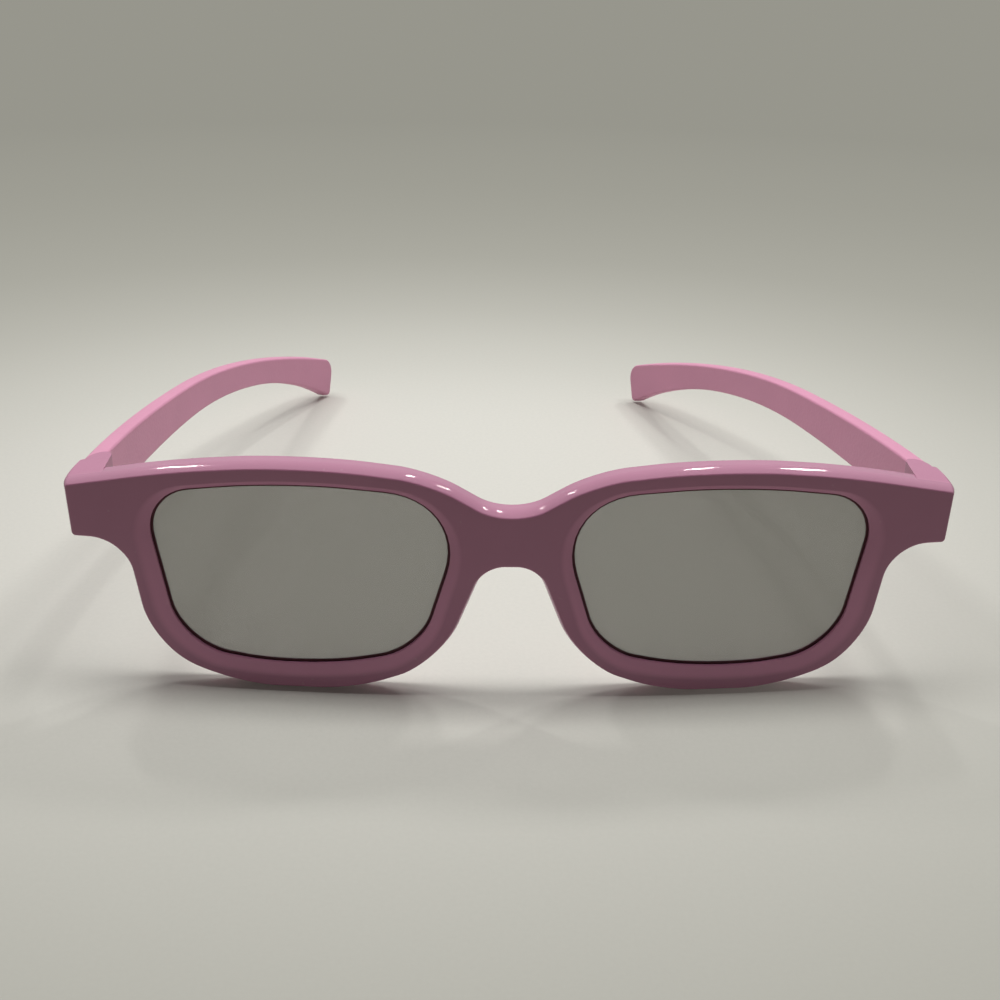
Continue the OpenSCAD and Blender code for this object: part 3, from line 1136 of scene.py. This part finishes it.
class GLASSES_OT_temples(Operator):
    """Model the two bowed temples with their hinge knuckles"""

    bl_idname = "glasses.temples"
    bl_label = "Temples"

    def side_corners(self, scene):
        """Side outline (distance behind the hinge, height, radius) of a temple."""
        temple = scene.glasses_temple
        hinge = scene.glasses_hinge
        root = hinge.gap + ROOT_GAP
        reach = temple.reach - TIP_TRIM
        tip = reach - temple.tip_lean
        top_at = end_heights(scene.glasses_front)[1]
        drop = top_at - tip * math.tan(temple.slope) - temple.tip_h

        def top(u):
            bend = max(0.0, u - temple.bend_y) / (tip - temple.bend_y)
            return top_at - u * math.tan(temple.slope) - drop * bend ** 2

        def height(u):
            if u < temple.neck_y:
                ease = (1 - math.cos(math.pi * u / temple.neck_y)) / 2
                return temple.root_h + (temple.neck_h - temple.root_h) * ease
            ease = ((u - temple.neck_y) / (tip - temple.neck_y)) ** 2
            return temple.neck_h + (top(tip) - temple.neck_h) * ease

        step = (tip - TIP_CURVE - root) / TEMPLE_STATIONS
        stations = [root + step * k for k in range(TEMPLE_STATIONS + 1)]
        corners = [(u, top(u), 0.0) for u in stations]
        corners += [(reach, top(reach), temple.tip_top_r), (tip, 0.0, temple.tip_low_r)]
        corners += [(u, max(0.0, top(u) - height(u)), 0.0) for u in reversed(stations)]
        return corners

    def bar(self, scene):
        """The bowed bar from its side outline."""
        temple = scene.glasses_temple
        half = (temple.thick - PARTING_RIDGE) / 2
        rounding = temple.edge_round
        steps = edge_steps(TEMPLE_DRAFT, half - rounding, rounding)
        bm = bmesh.new()
        face = rounded_face(
            bm, self.side_corners(scene),
            lambda u, z: Vector((half, u, z)), (1, 0, 0),
        )
        moulded_plate(bm, face, steps, steps)
        sliced(bm, 1, 0.0, temple.reach, TEMPLE_SLICE)
        for vert in bm.verts:
            out = vert.co.x
            u = vert.co.y
            turn = math.asin(u / temple.bow_r)
            blunt = min(1.0, max(0.0, (u - temple.reach + BLUNT_ZONE) / BLUNT_ZONE))
            vert.co.x = temple.bow_r * (math.cos(turn) - 1) + out * math.cos(turn)
            vert.co.y = u + out * math.sin(turn) * (1 - blunt * blunt * (3 - 2 * blunt))
        return bm

    def knuckle(self, scene):
        """The hinge knuckle: a bored barrel and the web that joins it to the bar."""
        hinge = scene.glasses_hinge
        thick = scene.glasses_temple.thick
        low, high = knuckle_heights(scene)
        radius = hinge.barrel_d / 2
        bore = hinge.pin_d / 2 + hinge.knuckle_fit
        bm = bmesh.new()
        corners = [(bore, low), (radius, low), (radius, high), (bore, high)]
        verts = [bm.verts.new((x, 0, z)) for x, z in corners]
        edges = [bm.edges.new((verts[k], verts[(k + 1) % 4])) for k in range(4)]
        bmesh.ops.spin(
            bm, geom=verts + edges, cent=(0, 0, 0), axis=(0, 0, 1), angle=2 * math.pi,
            steps=KNUCKLE_SEGMENTS, use_merge=True,
        )
        bmesh.ops.recalc_face_normals(bm, faces=bm.faces[:])
        softened(bm, hinge.edge_round)
        web = bmesh.new()
        foot = Vector((WEB_INNER, hinge.gap + ROOT_GAP, low))
        head = Vector((thick - WEB_OUTER, radius + WEB_OVERLAP, high))
        bmesh.ops.create_cube(web, size=1.0)
        bmesh.ops.scale(web, verts=web.verts[:], vec=head - foot)
        bmesh.ops.translate(web, verts=web.verts[:], vec=(foot + head) / 2)
        softened(web, WEB_EDGE)
        added(bm, web)
        return bm

    def execute(self, context):
        scene = context.scene
        hinge = scene.glasses_hinge
        axis_x, axis_y = hinge_place(scene)
        notch = bmesh.new()
        round_bar(notch, hinge.barrel_d / 2 + hinge.gap, CUT_LOW, CUT_HIGH, BARREL_SEGMENTS)
        temple = combined(self.bar(scene), notch, "DIFFERENCE")
        added(temple, self.knuckle(scene))
        satin = temple_plastic(scene.glasses_finish)
        for name, side in SIDES:
            bm = temple.copy()
            if side > 0:
                turn = Matrix.Rotation(scene.glasses_temple.left_fold, 3, "Z")
                bmesh.ops.rotate(bm, verts=bm.verts[:], cent=(0, 0, 0), matrix=turn)
            bmesh.ops.translate(bm, verts=bm.verts[:], vec=(axis_x, axis_y, 0))
            if side < 0:
                right = mirrored(bm)
                bm.free()
                bm = right
            piece = finished(bm, f"{name}_temple_bar", satin)
            settle(piece, f"{name}_arm", "temple_plastic", f"{name}_temple")
        temple.free()
        return {"FINISHED"}


class GLASSES_OT_pins(Operator):
    """Model the two hinge pins with rounded ends"""

    bl_idname = "glasses.pins"
    bl_label = "Hinge Pins"

    def execute(self, context):
        scene = context.scene
        hinge = scene.glasses_hinge
        axis_x, axis_y = hinge_place(scene)
        low, high = pin_heights(scene)
        metal = pin_metal("pin_wire", scene.glasses_finish.pin_grey)
        for name, side in SIDES:
            bm = bmesh.new()
            round_bar(bm, hinge.pin_d / 2, low, high, BORE_SEGMENTS)
            softened(bm, hinge.pin_round)
            bmesh.ops.translate(bm, verts=bm.verts[:], vec=(side * axis_x, axis_y, 0))
            piece = finished(bm, f"{name}_pin_wire", metal)
            settle(piece, "front", "pin_steel", f"{name}_hinge_pin")
        return {"FINISHED"}


class GLASSES_OT_stage(Operator):
    """Set the table, the lamps, the world and the camera"""

    bl_idname = "glasses.stage"
    bl_label = "Stage"
    lamp_aim = Vector((0, -0.02, 0.02))
    lamp_tint = (1.0, 0.99, 0.965)
    tube_asides = (-0.65, 0.24, 0.60)
    tube_shift = 0.02

    def table_material(self, stage):
        """Pale matt table, lit near the glasses, that turns into an even glowing grey farther out:
        a painted falloff of the lamps' pool, a little brighter nearer in.
        """
        material, tree, shader = shaded_material(
            "table_paper", {"Roughness": 0.9, "Specular IOR Level": 0.15}
        )
        link = tree.links.new
        spot = node(tree, "ShaderNodeTexCoord", (-1400, 0))
        fibre = node(tree, "ShaderNodeTexNoise", (-1100, 300), {"Scale": 1200.0, "Detail": 3.0})
        link(spot.outputs["Object"], fibre.inputs["Vector"])
        tone = node(
            tree, "ShaderNodeMix", (-800, 300),
            {"A": solid_tint(stage.table, 0.96), "B": solid_tint(stage.table, 1.04)},
            data_type="RGBA",
        )
        link(fibre.outputs["Fac"], tone.inputs["Factor"])
        link(tone.outputs["Result"], shader.inputs["Base Color"])
        shifted = node(
            tree, "ShaderNodeVectorMath", (-1250, -200),
            {1: (0.85, 1.0, 1.0), 2: (0.014, 0.003, 0.0)}, operation="MULTIPLY_ADD",
        )
        link(spot.outputs["Object"], shifted.inputs[0])
        away = node(tree, "ShaderNodeVectorMath", (-1100, -200), operation="LENGTH")
        link(shifted.outputs[0], away.inputs[0])
        far = node(tree, "ShaderNodeValToRGB", (-850, -100))
        far.color_ramp.interpolation = "B_SPLINE"
        for place, level in PAINTED_FALLOFF_STOPS:
            stop = far.color_ramp.elements.new(place)
            stop.color = (level, level, level, 1.0)
        far.color_ramp.elements[-1].position = PAINTED_FALLOFF_END
        link(away.outputs["Value"], far.inputs["Fac"])
        painted_falloff_share = node(
            tree, "ShaderNodeMapRange", (-850, -400), {"From Min": 0.12, "From Max": 0.45}
        )
        link(away.outputs["Value"], painted_falloff_share.inputs["Value"])
        painted_far_tone = node(
            tree, "ShaderNodeMix", (-600, -400),
            {"A": solid_tint(stage.distance, 1.25), "B": solid_tint(stage.distance)},
            data_type="RGBA",
        )
        link(painted_falloff_share.outputs["Result"], painted_far_tone.inputs["Factor"])
        painted_glow = node(tree, "ShaderNodeEmission", (-350, -400))
        link(painted_far_tone.outputs["Result"], painted_glow.inputs["Color"])
        # Painted light: the far table glows instead of taking lamp light, for every kind of ray
        mixed = node(tree, "ShaderNodeMixShader", (150, 0))
        link(far.outputs["Color"], mixed.inputs["Fac"])
        link(shader.outputs[0], mixed.inputs[1])
        link(painted_glow.outputs[0], mixed.inputs[2])
        link(mixed.outputs[0], tree.nodes["Material Output"].inputs["Surface"])
        return material

    def table(self, stage):
        """A wide flat table."""
        bm = bmesh.new()
        bmesh.ops.create_grid(bm, x_segments=1, y_segments=1, size=6.0)
        mesh = bpy.data.meshes.new("table")
        bm.to_mesh(mesh)
        bm.free()
        mesh.materials.append(self.table_material(stage))
        item = bpy.data.objects.new("table", mesh)
        bpy.context.scene.collection.objects.link(item)

    def lamp(self, name, toward, distance, width, reach, watts):
        """A lamp that shines on the glasses from a direction, reaching front to back."""
        data = bpy.data.lights.new(name, "AREA")
        data.shape = "RECTANGLE"
        data.energy = watts
        data.size = width
        data.size_y = reach
        data.color = self.lamp_tint
        item = bpy.data.objects.new(name, data)
        way = Vector(toward).normalized()
        item.location = self.lamp_aim + way * distance
        item.rotation_mode = "QUATERNION"
        item.rotation_quaternion = way.to_track_quat("Z", "Y")
        bpy.context.scene.collection.objects.link(item)
        return item

    def world(self, stage):
        """Soft room light, brighter overhead and behind, strongest where gloss mirrors it."""
        world = bpy.data.worlds.new("room")
        bpy.context.scene.world = world
        world.use_nodes = True
        tree = world.node_tree
        link = tree.links.new
        spot = node(tree, "ShaderNodeTexCoord", (-1100, 0))
        axes = node(tree, "ShaderNodeSeparateXYZ", (-900, 0))
        link(spot.outputs["Generated"], axes.inputs[0])
        behind = node(
            tree, "ShaderNodeMapRange", (-700, 150), {"From Min": -0.12, "From Max": 0.15}
        )
        link(axes.outputs["Y"], behind.inputs["Value"])
        above = node(tree, "ShaderNodeMapRange", (-700, -150), {"To Min": 0.10, "To Max": 0.45})
        link(axes.outputs["Z"], above.inputs["Value"])
        level = node(tree, "ShaderNodeMath", (-500, 0), operation="MULTIPLY")
        link(behind.outputs["Result"], level.inputs[0])
        link(above.outputs["Result"], level.inputs[1])
        ray = node(tree, "ShaderNodeLightPath", (-900, -400))
        sheen = node(tree, "ShaderNodeMapRange", (-700, -400), {"To Min": 1.0, "To Max": 3.8})
        link(ray.outputs["Is Glossy Ray"], sheen.inputs["Value"])
        shone = node(tree, "ShaderNodeMath", (-400, -200), operation="MULTIPLY")
        link(level.outputs[0], shone.inputs[0])
        link(sheen.outputs["Result"], shone.inputs[1])
        seen = node(
            tree, "ShaderNodeMix", (-250, 0), {"B": solid_tint(stage.distance)},
            data_type="RGBA",
        )
        link(ray.outputs["Is Camera Ray"], seen.inputs["Factor"])
        link(shone.outputs[0], seen.inputs["A"])
        link(seen.outputs["Result"], tree.nodes["Background"].inputs["Color"])

    def camera(self, stage):
        """The camera at the photograph's place and turn."""
        down = stage.camera_down
        aside = stage.camera_aside
        roll = stage.camera_roll
        ahead = Vector((
            math.sin(aside) * math.cos(down), math.cos(aside) * math.cos(down), -math.sin(down)
        ))
        flat = Vector((math.cos(aside), -math.sin(aside), 0))
        below = ahead.cross(flat)
        right = math.cos(roll) * flat + math.sin(roll) * below
        under = -math.sin(roll) * flat + math.cos(roll) * below
        data = bpy.data.cameras.new("camera")
        data.lens = stage.focal
        data.sensor_width = 36.0
        data.clip_start = 0.01
        data.clip_end = 50.0
        item = bpy.data.objects.new("camera", data)
        turn = Matrix((right, -under, -ahead)).transposed().to_4x4()
        item.matrix_world = Matrix.Translation(
            Vector(stage.camera_at) + Vector((0, SOLID_LOW.y, 0))
        ) @ turn
        bpy.context.scene.collection.objects.link(item)
        bpy.context.scene.camera = item

    def execute(self, context):
        stage = context.scene.glasses_stage
        context.scene.view_settings.view_transform = "Standard"
        self.table(stage)
        for k, aside in enumerate(self.tube_asides):
            for tube, side in (("a", -1), ("b", 1)):
                self.lamp(
                    f"tube_{k}_{tube}", (aside + side * self.tube_shift, 0.62, 1.0),
                    distance=0.42, width=0.004, reach=0.05, watts=stage.tube_watts,
                )
        soft = self.lamp(
            "soft_lamp", (0.0, 0.035, 1.0),
            distance=0.75, width=0.9, reach=0.24, watts=stage.soft_watts,
        )
        soft.visible_glossy = False
        self.world(stage)
        self.camera(stage)
        return {"FINISHED"}


class GLASSES_PT_parts(Panel):
    """Lists the operators that build the glasses"""

    bl_idname = "GLASSES_PT_parts"
    bl_label = "Folding Cinema Glasses"
    bl_space_type = "VIEW_3D"
    bl_region_type = "UI"
    bl_category = "Glasses"

    def draw(self, context):
        column = self.layout.column(align=True)
        for maker in MAKERS:
            column.operator(maker.bl_idname)


SETTINGS = {
    "glasses_front": GlassesFrontSizes,
    "glasses_lens": GlassesLensSizes,
    "glasses_hinge": GlassesHingeSizes,
    "glasses_temple": GlassesTempleSizes,
    "glasses_finish": GlassesFinishes,
    "glasses_stage": GlassesStage,
}
MAKERS = (
    GLASSES_OT_front,
    GLASSES_OT_lenses,
    GLASSES_OT_temples,
    GLASSES_OT_pins,
    GLASSES_OT_stage,
)


def register():
    """Adds the settings, operators and panel."""
    for name, group in SETTINGS.items():
        bpy.utils.register_class(group)
        setattr(bpy.types.Scene, name, PointerProperty(type=group))
    for maker in MAKERS:
        bpy.utils.register_class(maker)
    bpy.utils.register_class(GLASSES_PT_parts)


def unregister():
    """Takes the settings, operators and panel away."""
    bpy.utils.unregister_class(GLASSES_PT_parts)
    for maker in reversed(MAKERS):
        bpy.utils.unregister_class(maker)
    for name, group in reversed(SETTINGS.items()):
        delattr(bpy.types.Scene, name)
        bpy.utils.unregister_class(group)


def main():
    """Builds every piece and the stage."""
    register()
    bpy.ops.glasses.front()
    bpy.ops.glasses.lenses()
    bpy.ops.glasses.temples()
    bpy.ops.glasses.pins()
    bpy.ops.glasses.stage()


if __name__ == "__main__":
    main()
